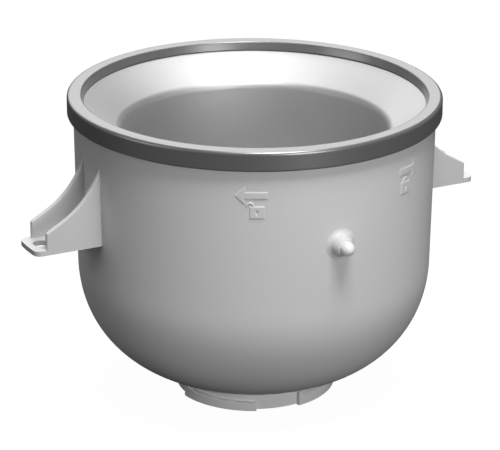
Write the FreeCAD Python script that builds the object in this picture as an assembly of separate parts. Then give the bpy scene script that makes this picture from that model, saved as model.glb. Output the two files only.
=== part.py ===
import FreeCAD, Part
import math
import os

# A gel-filled freeze bowl for a stand mixer, in millimetres.
# +Z is up along the bowl's axis. The origin is the centre of the base ring's bottom plane.
# The two mixer brackets stick out along +X and -X, and the latch pin points along -Y.
# Names ending in REACH or INSET are measured out from or in from the wall's top radius,
# and names ending in DROP are measured down from the wall's top edge.

# Overall sizes of the shell
WALL_TOP_RADIUS = 112.6
WALL_DRAFT_DEG = 0.84
WALL_TOP_HEIGHT = 184.7
BELLY_DROP = 95.5
SHELL_BOTTOM_HEIGHT = 10.6
SHELL_FLAT_RADIUS = 26.3
BELLY_EXPONENT = 2.2
BELLY_STEPS = 14
SHELL_WALL = 3.0

# Rim ring, the two seals and the liner's flange, stacked upwards from the shell's top edge
RIM_OUTER_REACH = 3.8
RIM_HEIGHT = 12.4
RIM_MOUTH_INSET = 5.0
RIM_LIP_INSET = 6.9
RIM_LIP_DEPTH = 5.5
RIM_SKIRT_GAP = 0.12
RIM_OUTER_ROUND = 1.8
RIM_INNER_ROUND = 1.4
RIM_LOWER_ROUND = 1.1
SNAP_BEAD_SIZE = 0.6
SNAP_BEAD_HEIGHT = 1.0
SNAP_BEAD_LIFT = 0.7
SNAP_GAP = 0.12
LOWER_SEAL_THICKNESS = 1.8
UPPER_SEAL_THICKNESS = 0.4
SEAL_SETBACK = 0.4

# Aluminium liner
LINER_WALL = 1.6
LINER_MOUTH_INSET = 6.4
LINER_MOUTH_ROUND = 2.5
LINER_BEND_INSET = 29.0
LINER_BEND_DEPTH = 16.2
LINER_BEND_ROUND = 11.0
LINER_TAPER_DEG = 1.6
LINER_FLOOR_HEIGHT = 50.0
LINER_FLOOR_ROUND = 28.0

# Freezing gel
GEL_DROP = 21.7
GEL_GAP = 0.2

# Mixer brackets
BRACKET_TIP_REACH = 41.9
BRACKET_TIP_BOW = 0.9
BRACKET_CORNER_ROUND = 4.5
BRACKET_HALF_WIDTH = 13.3
BRACKET_FLOOR_DROP = 67.0
BRACKET_FLOOR_THICKNESS = 3.2
RIB_THICKNESS = 3.0
RIB_END_REACH = 34.2
RIB_END_HEIGHT = 10.6
RIB_ROOT_HEIGHT = 45.0
RIB_END_SLOPE_DEG = 30.0
RIB_ROOT_SLOPE_DEG = 68.0
RIB_SWEEP_ROUND = 55.0
RIB_EDGE_ROUND = 1.1
BRACKET_HOLE_RADIUS = 5.0
BRACKET_HOLE_REACH = 32.7
TONGUE_DEPTH = 1.5
TONGUE_GAP = 0.1

# Latch pin and its boss
PIN_DROP = 53.7
PIN_RADIUS = 4.2
PIN_TIP_REACH = 12.4
PIN_SHANK_RADIUS = 3.0
PIN_SHANK_LENGTH = 5.0
PIN_SHANK_GAP = 0.02
PIN_BOSS_REACH = 5.8
PIN_BOSS_TIP_RADIUS = 5.2
PIN_BOSS_ROOT_RADIUS = 6.9
PIN_FLARE_LENGTH = 1.6

# Raised arrows and padlocks beside the pin
MARK_RELIEF = 0.5
ARROW_ANGLE_DEG = 28.3
ARROW_DROP = 18.8
ARROW_LENGTH = 19.4
ARROW_SHAFT_WIDTH = 4.0
ARROW_HEAD_WIDTH = 10.8
ARROW_HEAD_LENGTH = 5.9
PADLOCK_ANGLE_DEG = 26.5
PADLOCK_DROP = 29.4
PADLOCK_WIDTH = 8.6
PADLOCK_BODY_HEIGHT = 7.4
SHACKLE_RADIUS = 2.4
SHACKLE_THICKNESS = 1.1
SHACKLE_LIFT = 0.4
SHACKLE_SWING = 4.3
KEYHOLE_RADIUS = 0.9

# Neck under the shell and the four bayonet tabs on it
NECK_RADIUS = 43.0
NECK_WALL = 3.4
NECK_BOTTOM_HEIGHT = 4.0
SEAT_HEIGHT = 11.4
SEAT_OVERHANG = 0.3
TAB_REACH = 2.2
TAB_HEIGHT = 2.2
TAB_ANGLE_DEG = 24.0
TAB_COUNT = 4
FIRST_TAB_DEG = 45.0

# Base ring that twists onto the neck, with four ramped lugs for a clamp plate
RING_RADIUS = 49.0
RING_WALL = 2.6
RING_LIP_HEIGHT = 2.5
RING_GAP = 0.4
RING_SEAT_GAP = 0.3
RING_FOOT_ROUND = 0.5
NOTCH_MARGIN_DEG = 2.0
UNLOCK_TURN_DEG = 30.0
STOP_GAP_DEG = 0.5
STOP_ANGLE_DEG = 3.0
LUG_OVERHANG = 3.2
LUG_ARC_DEG = 58.3
LUG_COUNT = 4
FIRST_LUG_DEG = -173.0
LUG_STOP_ARC_DEG = 3.2
LUG_RAMP_START_HEIGHT = 7.4
LUG_RAMP_END_HEIGHT = 5.5
LUG_STEPS = 14
LUG_EDGE_ROUND = 0.8

# Fill port, its plug and the plug's seal
PORT_RADIUS = 6.0
PLUG_GAP = 0.05
PLUG_HEAD_RADIUS = 10.0
PLUG_HEAD_THICKNESS = 2.0
PLUG_HEAD_ROUND = 0.7
PLUG_BARB_SIZE = 0.7
PLUG_BARB_HEIGHT = 1.2
PLUG_SEAL_RADIUS = 9.0
PLUG_SEAL_THICKNESS = 0.8

# Working allowances: how far a cutting shape overshoots, and how near two heights count as equal
OVERSHOOT = 1.0
TOLERANCE = 0.01

UP = FreeCAD.Vector(0, 0, 1)
DOWN_Y = FreeCAD.Vector(0, -1, 0)
UP_Y = FreeCAD.Vector(0, 1, 0)
ORIGIN = FreeCAD.Vector(0, 0, 0)

# Heights that follow from the sizes above
BELLY_HEIGHT = WALL_TOP_HEIGHT - BELLY_DROP
FLANGE_BOTTOM = WALL_TOP_HEIGHT + LOWER_SEAL_THICKNESS
FLANGE_TOP = FLANGE_BOTTOM + LINER_WALL
RIM_LIP_BOTTOM = FLANGE_TOP + UPPER_SEAL_THICKNESS
RIM_TOP = RIM_LIP_BOTTOM + RIM_LIP_DEPTH
RIM_BOTTOM = RIM_TOP - RIM_HEIGHT
GEL_LEVEL = WALL_TOP_HEIGHT - GEL_DROP
BRACKET_FLOOR_TOP = WALL_TOP_HEIGHT - BRACKET_FLOOR_DROP
BRACKET_FLOOR_BOTTOM = BRACKET_FLOOR_TOP - BRACKET_FLOOR_THICKNESS
PIN_HEIGHT = WALL_TOP_HEIGHT - PIN_DROP
ARROW_HEIGHT = WALL_TOP_HEIGHT - ARROW_DROP
PADLOCK_HEIGHT = WALL_TOP_HEIGHT - PADLOCK_DROP
TAB_TOP = NECK_BOTTOM_HEIGHT + TAB_HEIGHT
RING_TOP = SEAT_HEIGHT - RING_SEAT_GAP

# Distances from the axis that follow from the sizes above
FLANGE_RADIUS = WALL_TOP_RADIUS - SEAL_SETBACK
RIM_SKIRT_RADIUS = WALL_TOP_RADIUS + RIM_SKIRT_GAP
RIM_OUTER_RADIUS = WALL_TOP_RADIUS + RIM_OUTER_REACH
RIM_MOUTH_RADIUS = WALL_TOP_RADIUS - RIM_MOUTH_INSET
RIM_LIP_RADIUS = WALL_TOP_RADIUS - RIM_LIP_INSET
LINER_MOUTH_RADIUS = WALL_TOP_RADIUS - LINER_MOUTH_INSET
LINER_BEND_RADIUS = WALL_TOP_RADIUS - LINER_BEND_INSET
BRACKET_TIP = WALL_TOP_RADIUS + BRACKET_TIP_REACH
RIB_END = WALL_TOP_RADIUS + RIB_END_REACH
BRACKET_HOLE = WALL_TOP_RADIUS + BRACKET_HOLE_REACH
PIN_TIP = WALL_TOP_RADIUS + PIN_TIP_REACH
PIN_BOSS_TIP = WALL_TOP_RADIUS + PIN_BOSS_REACH
RING_INNER_RADIUS = RING_RADIUS - RING_WALL
SEAT_RADIUS = RING_RADIUS + SEAT_OVERHANG
LUG_RADIUS = RING_RADIUS + LUG_OVERHANG


def wall_radius(height, inset=0.0):
    """Outer radius of the shell's drafted wall at a height, less an inset."""
    drop = WALL_TOP_HEIGHT - height
    return WALL_TOP_RADIUS - drop * math.tan(math.radians(WALL_DRAFT_DEG)) - inset


def section_point(radius, height):
    return FreeCAD.Vector(radius, 0, height)


def polygon_face(points):
    return Part.Face(Part.makePolygon(list(points) + [points[0]]))


def closed_face(edges):
    return Part.Face(Part.Wire(Part.sortEdges(edges)[0]))


def revolved(edges):
    """A solid of revolution about Z from edges in the XZ half plane that close on themselves."""
    return closed_face(edges).revolve(ORIGIN, UP, 360)


def tube(outer, inner, bottom, top):
    """A plain tube about Z."""
    base = FreeCAD.Vector(0, 0, bottom)
    return Part.makeCylinder(outer, top - bottom, base).cut(Part.makeCylinder(inner, top - bottom, base))


def tube_sector(outer, inner, bottom, top, start_deg, arc_deg):
    """A piece of a tube about Z, from start_deg on for arc_deg counterclockwise."""
    face = polygon_face([
        section_point(inner, bottom),
        section_point(outer, bottom),
        section_point(outer, top),
        section_point(inner, top),
    ])
    sector = face.revolve(ORIGIN, UP, arc_deg)
    sector.rotate(ORIGIN, UP, start_deg)
    return sector


def rounded_path(corners):
    """Edges in the XZ plane through (radius, height, rounding) corners, with tangent arcs."""
    points = [section_point(radius, height) for radius, height, _ in corners]
    edges = []
    start = points[0]
    for index in range(1, len(points) - 1):
        corner = points[index]
        rounding = corners[index][2]
        towards = (points[index - 1] - corner).normalize()
        onwards = (points[index + 1] - corner).normalize()
        if rounding <= 0:
            edges.append(Part.makeLine(start, corner))
            start = corner
            continue
        half_angle = towards.getAngle(onwards) / 2
        setback = rounding / math.tan(half_angle)
        arc_start = corner + towards * setback
        arc_end = corner + onwards * setback
        bisector = (towards + onwards).normalize()
        arc_middle = corner + bisector * (rounding / math.sin(half_angle) - rounding)
        edges.append(Part.makeLine(start, arc_start))
        edges.append(Part.Arc(arc_start, arc_middle, arc_end).toShape())
        start = arc_end
    edges.append(Part.makeLine(start, points[-1]))
    return edges


def revolved_path(corners):
    """A solid of revolution from a closed path of (radius, height, rounding) corners."""
    edges = rounded_path(corners)
    closing_start = section_point(corners[-1][0], corners[-1][1])
    closing_end = section_point(corners[0][0], corners[0][1])
    edges.append(Part.makeLine(closing_start, closing_end))
    return revolved(edges)


def belly_curve(inset):
    """The shell's lower bowl as a superellipse quarter, from the drafted wall to the flat bottom.

    With t from 0 to 90 degrees, radius is the flat radius plus the half width times cos(t)
    to the power 2/exponent, and height is the belly height less the depth times sin(t) to
    the same power.
    """
    half_width = wall_radius(BELLY_HEIGHT) - SHELL_FLAT_RADIUS - inset
    depth = BELLY_HEIGHT - SHELL_BOTTOM_HEIGHT - inset
    power = 2 / BELLY_EXPONENT
    points = []
    for step in range(BELLY_STEPS + 1):
        turn = math.pi / 2 * step / BELLY_STEPS
        across = max(math.cos(turn), 0.0) ** power
        down = max(math.sin(turn), 0.0) ** power
        if step == BELLY_STEPS:
            across = 0.0
        points.append(section_point(SHELL_FLAT_RADIUS + half_width * across, BELLY_HEIGHT - depth * down))
    curve = Part.BSplineCurve()
    draft = math.radians(WALL_DRAFT_DEG)
    start_tangent = FreeCAD.Vector(-math.sin(draft), 0, -math.cos(draft))
    end_tangent = FreeCAD.Vector(-1, 0, 0)
    curve.interpolate(Points=points, InitialTangent=start_tangent, FinalTangent=end_tangent)
    return curve.toShape()


def shell_form(inset, top):
    """The shell's outside shape moved inwards by inset, filled to the axis and cut flat at top."""
    bottom = SHELL_BOTTOM_HEIGHT + inset
    belly = belly_curve(inset)
    wall_foot = section_point(wall_radius(BELLY_HEIGHT, inset), BELLY_HEIGHT)
    wall_head = section_point(wall_radius(top, inset), top)
    axis_head = section_point(0, top)
    axis_foot = section_point(0, bottom)
    flat_edge = section_point(SHELL_FLAT_RADIUS, bottom)
    return revolved([
        belly,
        Part.makeLine(flat_edge, axis_foot),
        Part.makeLine(axis_foot, axis_head),
        Part.makeLine(axis_head, wall_head),
        Part.makeLine(wall_head, wall_foot),
    ])


def wall_band(bottom, top, inset):
    """The drafted wall's surface moved inwards by inset, filled, between two heights."""
    return Part.makeCone(
        wall_radius(bottom, inset),
        wall_radius(top, inset),
        top - bottom,
        FreeCAD.Vector(0, 0, bottom),
    )


# Marks on the wall. Each one is drawn flat, with across to the right as seen from outside and
# up along Z, then pushed outwards through the wall and trimmed to a thin raised layer.

def standing_face(outline):
    """A face in the XZ plane from (across, up) pairs."""
    return polygon_face([FreeCAD.Vector(across, 0, up) for across, up in outline])


def raised_mark(face, angle_deg):
    """The layer of MARK_RELIEF over the wall that lies behind a flat face, turned to angle_deg."""
    block = face.extrude(DOWN_Y * (2 * WALL_TOP_RADIUS))
    block.rotate(ORIGIN, UP, angle_deg)
    box = block.BoundBox
    bottom = box.ZMin - OVERSHOOT
    top = box.ZMax + OVERSHOOT
    layer = wall_band(bottom, top, -MARK_RELIEF).cut(wall_band(bottom, top, SHELL_WALL / 2))
    return block.common(layer)


def arrow_face(direction):
    """A straight arrow; direction is -1 to point left and 1 to point right."""
    half = ARROW_LENGTH / 2
    neck = half - ARROW_HEAD_LENGTH
    shaft = ARROW_SHAFT_WIDTH / 2
    head = ARROW_HEAD_WIDTH / 2
    outline = [
        (-half, -shaft),
        (neck, -shaft),
        (neck, -head),
        (half, 0),
        (neck, head),
        (neck, shaft),
        (-half, shaft),
    ]
    return standing_face([(direction * across, ARROW_HEIGHT + up) for across, up in outline])


def padlock_face(swing):
    """A padlock: a body with a keyhole, and a shackle moved sideways by swing."""
    half = PADLOCK_WIDTH / 2
    body_bottom = PADLOCK_HEIGHT - PADLOCK_BODY_HEIGHT / 2
    body_top = PADLOCK_HEIGHT + PADLOCK_BODY_HEIGHT / 2
    body = standing_face([(-half, body_bottom), (half, body_bottom), (half, body_top), (-half, body_top)])
    keyhole_centre = FreeCAD.Vector(0, 0, PADLOCK_HEIGHT + KEYHOLE_RADIUS / 2)
    keyhole = Part.Face(Part.Wire(Part.makeCircle(KEYHOLE_RADIUS, keyhole_centre, DOWN_Y)))
    slot = standing_face([
        (-KEYHOLE_RADIUS / 2, PADLOCK_HEIGHT - 2 * KEYHOLE_RADIUS),
        (KEYHOLE_RADIUS / 2, PADLOCK_HEIGHT - 2 * KEYHOLE_RADIUS),
        (KEYHOLE_RADIUS / 2, PADLOCK_HEIGHT),
        (-KEYHOLE_RADIUS / 2, PADLOCK_HEIGHT),
    ])
    inner = SHACKLE_RADIUS - SHACKLE_THICKNESS
    spring = body_top + SHACKLE_LIFT
    centre = FreeCAD.Vector(swing, 0, spring)
    outer_disc = Part.Face(Part.Wire(Part.makeCircle(SHACKLE_RADIUS, centre, DOWN_Y)))
    inner_disc = Part.Face(Part.Wire(Part.makeCircle(inner, centre, DOWN_Y)))
    above = standing_face([
        (swing - 2 * SHACKLE_RADIUS, spring),
        (swing + 2 * SHACKLE_RADIUS, spring),
        (swing + 2 * SHACKLE_RADIUS, spring + 2 * SHACKLE_RADIUS),
        (swing - 2 * SHACKLE_RADIUS, spring + 2 * SHACKLE_RADIUS),
    ])
    arch = outer_disc.cut(inner_disc).common(above)
    legs = []
    for side in (-1, 1):
        outer_edge = swing + side * SHACKLE_RADIUS
        inner_edge = swing + side * inner
        foot = body_top - SHACKLE_THICKNESS / 2
        if abs((outer_edge + inner_edge) / 2) > half:
            foot = body_top + SHACKLE_LIFT / 2
        legs.append(standing_face([
            (outer_edge, foot),
            (inner_edge, foot),
            (inner_edge, spring),
            (outer_edge, spring),
        ]))
    return [body.cut(keyhole).cut(slot), arch] + legs


def raised_marks():
    """The unlock arrow and open padlock left of the pin, the lock arrow and padlock right of it."""
    layers = []
    for direction in (-1, 1):
        layers.append(raised_mark(arrow_face(direction), direction * ARROW_ANGLE_DEG))
        swing = 0.0
        if direction < 0:
            swing = -SHACKLE_SWING
        for face in padlock_face(swing):
            layers.append(raised_mark(face, direction * PADLOCK_ANGLE_DEG))
    return layers


# Mixer brackets. Both are drawn along +X, and the left one is turned half way round.

def rib_side_face(gap):
    """The rib's side view, grown by gap, from inside the wall outwards.

    Its top edge rises from the end at a shallow slope and sweeps round into a steep one
    that reaches the wall at the root height.
    """
    bottom = BRACKET_FLOOR_BOTTOM - gap
    end_top = BRACKET_FLOOR_TOP + RIB_END_HEIGHT + gap
    root_top = BRACKET_FLOOR_TOP + RIB_ROOT_HEIGHT + gap
    root_reach = wall_radius(root_top)
    shallow = math.tan(math.radians(RIB_END_SLOPE_DEG))
    steep = math.tan(math.radians(RIB_ROOT_SLOPE_DEG))
    knee_reach = (root_top - end_top + steep * root_reach - shallow * RIB_END) / (steep - shallow)
    knee_height = end_top + shallow * (RIB_END - knee_reach)
    buried_reach = wall_radius(bottom, SHELL_WALL)
    buried_top = root_top + steep * (root_reach - buried_reach)
    edges = rounded_path([
        (RIB_END, end_top, 0),
        (knee_reach, knee_height, RIB_SWEEP_ROUND),
        (buried_reach, buried_top, 0),
        (buried_reach, bottom, 0),
        (RIB_END, bottom, 0),
    ])
    edges.append(Part.makeLine(section_point(RIB_END, bottom), section_point(RIB_END, end_top)))
    return closed_face(edges)


def bracket_form(gap):
    """The bracket's U section of two ribs and a floor, grown by gap and still running into the wall."""
    rib_outer = BRACKET_HALF_WIDTH + gap
    rib_inner = BRACKET_HALF_WIDTH - RIB_THICKNESS - gap
    side = rib_side_face(gap)
    side.translate(FreeCAD.Vector(0, -rib_outer, 0))
    block = side.extrude(FreeCAD.Vector(0, 2 * rib_outer, 0))
    channel_bottom = BRACKET_FLOOR_TOP + gap
    channel = Part.makeBox(
        BRACKET_TIP,
        2 * rib_inner,
        2 * WALL_TOP_HEIGHT,
        FreeCAD.Vector(0, -rib_inner, channel_bottom),
    )
    return block.cut(channel)


def bracket_floor():
    """The floor plate with a slightly bowed, round-cornered tip."""
    corner_reach = BRACKET_TIP - BRACKET_TIP_BOW
    half = BRACKET_HALF_WIDTH
    start = wall_radius(BRACKET_FLOOR_BOTTOM)
    bottom = BRACKET_FLOOR_BOTTOM
    near_low = FreeCAD.Vector(start, -half, bottom)
    far_low = FreeCAD.Vector(corner_reach, -half, bottom)
    tip = FreeCAD.Vector(BRACKET_TIP, 0, bottom)
    far_high = FreeCAD.Vector(corner_reach, half, bottom)
    near_high = FreeCAD.Vector(start, half, bottom)
    outline = Part.Wire([
        Part.makeLine(near_low, far_low),
        Part.Arc(far_low, tip, far_high).toShape(),
        Part.makeLine(far_high, near_high),
        Part.makeLine(near_high, near_low),
    ])
    plate = Part.Face(outline).extrude(FreeCAD.Vector(0, 0, BRACKET_FLOOR_THICKNESS))
    corners = []
    for edge in plate.Edges:
        box = edge.BoundBox
        upright = box.ZLength > BRACKET_FLOOR_THICKNESS / 2
        if upright and box.XMin > corner_reach - OVERSHOOT:
            corners.append(edge)
    return plate.makeFillet(BRACKET_CORNER_ROUND, corners)


def rib_edges(solid):
    """The edges of the ribs that are rounded: along the top sweep, and round the end face."""
    chosen = []
    end_top = BRACKET_FLOOR_TOP + RIB_END_HEIGHT
    for edge in solid.Edges:
        box = edge.BoundBox
        along_sweep = box.ZMin > end_top - TOLERANCE and box.XLength > TOLERANCE
        on_end_face = box.XMin > RIB_END - TOLERANCE
        up_end = on_end_face and box.ZLength > RIB_END_HEIGHT - TOLERANCE
        over_end = on_end_face and box.ZMin > end_top - TOLERANCE
        if along_sweep or up_end or over_end:
            chosen.append(edge)
    return chosen


def bracket(turn_deg):
    """One moulded bracket whose root runs a short way into the shell's wall."""
    ribs = bracket_form(0.0)
    ribs = ribs.makeFillet(RIB_EDGE_ROUND, rib_edges(ribs))
    solid = ribs.fuse(bracket_floor()).removeSplitter()
    solid = solid.cut(wall_band(BELLY_HEIGHT, WALL_TOP_HEIGHT, TONGUE_DEPTH))
    hole_bottom = FreeCAD.Vector(BRACKET_HOLE, 0, BRACKET_FLOOR_BOTTOM)
    solid = solid.cut(Part.makeCylinder(BRACKET_HOLE_RADIUS, BRACKET_FLOOR_THICKNESS, hole_bottom))
    solid.rotate(ORIGIN, UP, turn_deg)
    return solid


def bracket_socket(turn_deg):
    """The groove that a bracket's root sits in."""
    socket = bracket_form(TONGUE_GAP)
    socket = socket.cut(wall_band(BELLY_HEIGHT, WALL_TOP_HEIGHT, TONGUE_DEPTH + TONGUE_GAP))
    socket.rotate(ORIGIN, UP, turn_deg)
    return socket


# Latch pin along -Y

def pin_boss():
    """The tapered boss on the shell, with a flared root and a blind bore for the pin's shank."""
    buried = wall_radius(PIN_HEIGHT, SHELL_WALL / 2)
    surface = wall_radius(PIN_HEIGHT)
    flare_reach = surface + PIN_FLARE_LENGTH
    root_start = FreeCAD.Vector(0, -buried, PIN_HEIGHT)
    flare_end = FreeCAD.Vector(0, -flare_reach, PIN_HEIGHT)
    flare_slope = PIN_BOSS_ROOT_RADIUS - PIN_BOSS_TIP_RADIUS
    flare = Part.makeCone(
        PIN_BOSS_ROOT_RADIUS + flare_slope,
        PIN_BOSS_ROOT_RADIUS - flare_slope / 2,
        flare_reach - buried,
        root_start,
        DOWN_Y,
    )
    taper = Part.makeCone(
        PIN_BOSS_ROOT_RADIUS - flare_slope / 2,
        PIN_BOSS_TIP_RADIUS,
        PIN_BOSS_TIP - flare_reach,
        flare_end,
        DOWN_Y,
    )
    return flare.fuse(taper)


def pin_bore():
    """The blind bore in the boss; it stops before the shell's inner face."""
    depth = PIN_SHANK_LENGTH + PIN_SHANK_GAP
    mouth = FreeCAD.Vector(0, -PIN_BOSS_TIP, PIN_HEIGHT)
    return Part.makeCylinder(PIN_SHANK_RADIUS + PIN_SHANK_GAP, depth, mouth, UP_Y)


def latch_pin():
    """A round-ended stub on a thinner shank."""
    dome_centre = FreeCAD.Vector(0, -(PIN_TIP - PIN_RADIUS), PIN_HEIGHT)
    boss_end = FreeCAD.Vector(0, -PIN_BOSS_TIP, PIN_HEIGHT)
    stub = Part.makeCylinder(PIN_RADIUS, PIN_TIP - PIN_RADIUS - PIN_BOSS_TIP, boss_end, DOWN_Y)
    ball = Part.makeSphere(PIN_RADIUS, dome_centre)
    dome = ball.cut(Part.makeCylinder(PIN_RADIUS, PIN_RADIUS, dome_centre, UP_Y))
    shank = Part.makeCylinder(PIN_SHANK_RADIUS, PIN_SHANK_LENGTH, boss_end, UP_Y)
    return stub.fuse(dome).fuse(shank).removeSplitter()


# Shell

def neck():
    """The spigot under the shell: a seat for the base ring, a tube and its bayonet tabs."""
    buried = SEAT_HEIGHT + SHELL_WALL / 2
    seat = tube(SEAT_RADIUS, NECK_RADIUS - NECK_WALL, SEAT_HEIGHT, buried)
    spigot = tube(NECK_RADIUS, NECK_RADIUS - NECK_WALL, NECK_BOTTOM_HEIGHT, buried)
    solid = seat.fuse(spigot)
    tab_root = NECK_RADIUS - NECK_WALL / 2
    tab_radius = NECK_RADIUS + TAB_REACH
    for index in range(TAB_COUNT):
        start = FIRST_TAB_DEG + index * 360 / TAB_COUNT - TAB_ANGLE_DEG / 2
        tab = tube_sector(tab_radius, tab_root, NECK_BOTTOM_HEIGHT, TAB_TOP, start, TAB_ANGLE_DEG)
        solid = solid.fuse(tab)
    return solid


def snap_groove():
    """The groove round the shell's top edge that the rim ring's bead snaps into."""
    bottom = RIM_BOTTOM + SNAP_BEAD_LIFT - SNAP_GAP
    top = RIM_BOTTOM + SNAP_BEAD_LIFT + SNAP_BEAD_HEIGHT + SNAP_GAP
    floor_radius = RIM_SKIRT_RADIUS - SNAP_BEAD_SIZE - SNAP_GAP
    return tube(WALL_TOP_RADIUS + OVERSHOOT, floor_radius, bottom, top)


def outer_shell():
    """The one-piece outer shell with its neck, pin boss, bracket sockets, fill port and marks."""
    solid = shell_form(0.0, WALL_TOP_HEIGHT)
    solid = solid.fuse([neck(), pin_boss()] + raised_marks())
    solid = solid.cut(shell_form(SHELL_WALL, WALL_TOP_HEIGHT))
    port_bottom = FreeCAD.Vector(0, 0, SHELL_BOTTOM_HEIGHT)
    port = Part.makeCylinder(PORT_RADIUS, SHELL_WALL, port_bottom)
    cuts = [bracket_socket(0), bracket_socket(180), pin_bore(), snap_groove(), port]
    return solid.cut(cuts).removeSplitter()


# Rim ring and seals

def rim_ring():
    """The collar that covers the shell's top edge and holds the liner's flange down."""
    bead_bottom = RIM_BOTTOM + SNAP_BEAD_LIFT
    bead_top = bead_bottom + SNAP_BEAD_HEIGHT
    bead_radius = RIM_SKIRT_RADIUS - SNAP_BEAD_SIZE
    slope = SNAP_BEAD_SIZE / 2
    return revolved_path([
        (RIM_SKIRT_RADIUS, RIM_BOTTOM, 0),
        (RIM_OUTER_RADIUS, RIM_BOTTOM, RIM_LOWER_ROUND),
        (RIM_OUTER_RADIUS, RIM_TOP, RIM_OUTER_ROUND),
        (RIM_MOUTH_RADIUS, RIM_TOP, RIM_INNER_ROUND),
        (RIM_LIP_RADIUS, RIM_LIP_BOTTOM, 0),
        (RIM_SKIRT_RADIUS, RIM_LIP_BOTTOM, 0),
        (RIM_SKIRT_RADIUS, bead_top, 0),
        (bead_radius, bead_top - slope, 0),
        (bead_radius, bead_bottom + slope, 0),
        (RIM_SKIRT_RADIUS, bead_bottom, 0),
    ])


def rim_seal():
    """The flat gasket between the shell's top edge and the liner's flange."""
    inner = wall_radius(WALL_TOP_HEIGHT, SHELL_WALL)
    return tube(FLANGE_RADIUS, inner, WALL_TOP_HEIGHT, FLANGE_BOTTOM)


def ring_seal():
    """The flat gasket between the liner's flange and the rim ring's lip."""
    inner = RIM_LIP_RADIUS + SEAL_SETBACK
    return tube(FLANGE_RADIUS, inner, FLANGE_TOP, RIM_LIP_BOTTOM)


# Liner and gel

def unit(across, up):
    length = math.hypot(across, up)
    return across / length, up / length


def liner_corners(offset):
    """The liner's inner surface moved outwards by offset, as corners from the flange to the axis.

    The path is flange, flare, drafted wall and floor, so outwards is always on its left.
    Each corner moves to where its two runs cross once both have moved, and its rounding
    shrinks on a left turn and grows on a right turn.
    """
    bend_height = FLANGE_TOP - LINER_BEND_DEPTH
    taper = math.tan(math.radians(LINER_TAPER_DEG))
    floor_radius = LINER_BEND_RADIUS - (bend_height - LINER_FLOOR_HEIGHT) * taper
    plain = [
        (FLANGE_RADIUS, FLANGE_TOP, 0.0),
        (LINER_MOUTH_RADIUS, FLANGE_TOP, LINER_MOUTH_ROUND),
        (LINER_BEND_RADIUS, bend_height, LINER_BEND_ROUND),
        (floor_radius, LINER_FLOOR_HEIGHT, LINER_FLOOR_ROUND),
        (0.0, LINER_FLOOR_HEIGHT, 0.0),
    ]
    corners = [(plain[0][0], plain[0][1] - offset, 0.0)]
    for before, corner, after in zip(plain, plain[1:], plain[2:]):
        into = unit(corner[0] - before[0], corner[1] - before[1])
        onwards = unit(after[0] - corner[0], after[1] - corner[1])
        left_into = (-into[1], into[0])
        left_onwards = (-onwards[1], onwards[0])
        shared = 1 + left_into[0] * left_onwards[0] + left_into[1] * left_onwards[1]
        radius = corner[0] + (left_into[0] + left_onwards[0]) / shared * offset
        height = corner[1] + (left_into[1] + left_onwards[1]) / shared * offset
        turn = into[0] * onwards[1] - into[1] * onwards[0]
        corners.append((radius, height, corner[2] - math.copysign(offset, turn)))
    corners.append((0.0, LINER_FLOOR_HEIGHT - offset, 0.0))
    return corners


def inner_bowl():
    """The spun aluminium liner: flange, flare, drafted wall and rounded floor, one thickness."""
    inside = rounded_path(liner_corners(0.0))
    outside = rounded_path(liner_corners(LINER_WALL))
    flange_edge = Part.makeLine(inside[0].Vertexes[0].Point, outside[0].Vertexes[0].Point)
    floor_upper = section_point(0, LINER_FLOOR_HEIGHT)
    floor_lower = section_point(0, LINER_FLOOR_HEIGHT - LINER_WALL)
    floor_centre = Part.makeLine(floor_upper, floor_lower)
    return revolved(inside + outside + [flange_edge, floor_centre])


def liner_form(offset):
    """The liner's inner surface moved outwards by offset and filled to the axis."""
    return revolved_path(liner_corners(offset) + [(0.0, FLANGE_TOP - offset, 0.0)])


def freezing_gel():
    """The gel between liner and shell, up to the level that leaves it room to swell."""
    fill = shell_form(SHELL_WALL + GEL_GAP, GEL_LEVEL)
    fill = fill.cut(liner_form(LINER_WALL + GEL_GAP))
    room_radius = PORT_RADIUS + PLUG_BARB_SIZE + GEL_GAP
    room_height = SHELL_WALL + PLUG_GAP + PLUG_BARB_HEIGHT + GEL_GAP
    barb_room = Part.makeCylinder(room_radius, room_height, FreeCAD.Vector(0, 0, SHELL_BOTTOM_HEIGHT))
    return fill.cut(barb_room)


# Fill port

def fill_plug_seal():
    top = SHELL_BOTTOM_HEIGHT
    return tube(PLUG_SEAL_RADIUS, PORT_RADIUS, top - PLUG_SEAL_THICKNESS, top)


def fill_plug():
    """A press-in plug: a flat head, a shank through the shell and a barb inside."""
    head_top = SHELL_BOTTOM_HEIGHT - PLUG_SEAL_THICKNESS
    head_bottom = head_top - PLUG_HEAD_THICKNESS
    shank_radius = PORT_RADIUS - PLUG_GAP
    shank_top = SHELL_BOTTOM_HEIGHT + SHELL_WALL + PLUG_GAP
    barb_radius = PORT_RADIUS + PLUG_BARB_SIZE
    return revolved_path([
        (0.0, head_bottom, 0.0),
        (PLUG_HEAD_RADIUS, head_bottom, PLUG_HEAD_ROUND),
        (PLUG_HEAD_RADIUS, head_top, 0.0),
        (shank_radius, head_top, 0.0),
        (shank_radius, shank_top, 0.0),
        (barb_radius, shank_top, 0.0),
        (shank_radius - PLUG_BARB_SIZE, shank_top + PLUG_BARB_HEIGHT, 0.0),
        (0.0, shank_top + PLUG_BARB_HEIGHT, 0.0),
    ])


# Base ring

def ramp_height(share):
    """Height of a lug's top at a share of its arc: a full-height stop that sweeps into a shallow ramp."""
    ramp = LUG_RAMP_END_HEIGHT + (LUG_RAMP_START_HEIGHT - LUG_RAMP_END_HEIGHT) * (1 - share) ** 2
    stop = (RING_TOP - LUG_RAMP_START_HEIGHT) * math.exp(-share * LUG_ARC_DEG / LUG_STOP_ARC_DEG)
    return ramp + stop


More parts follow.
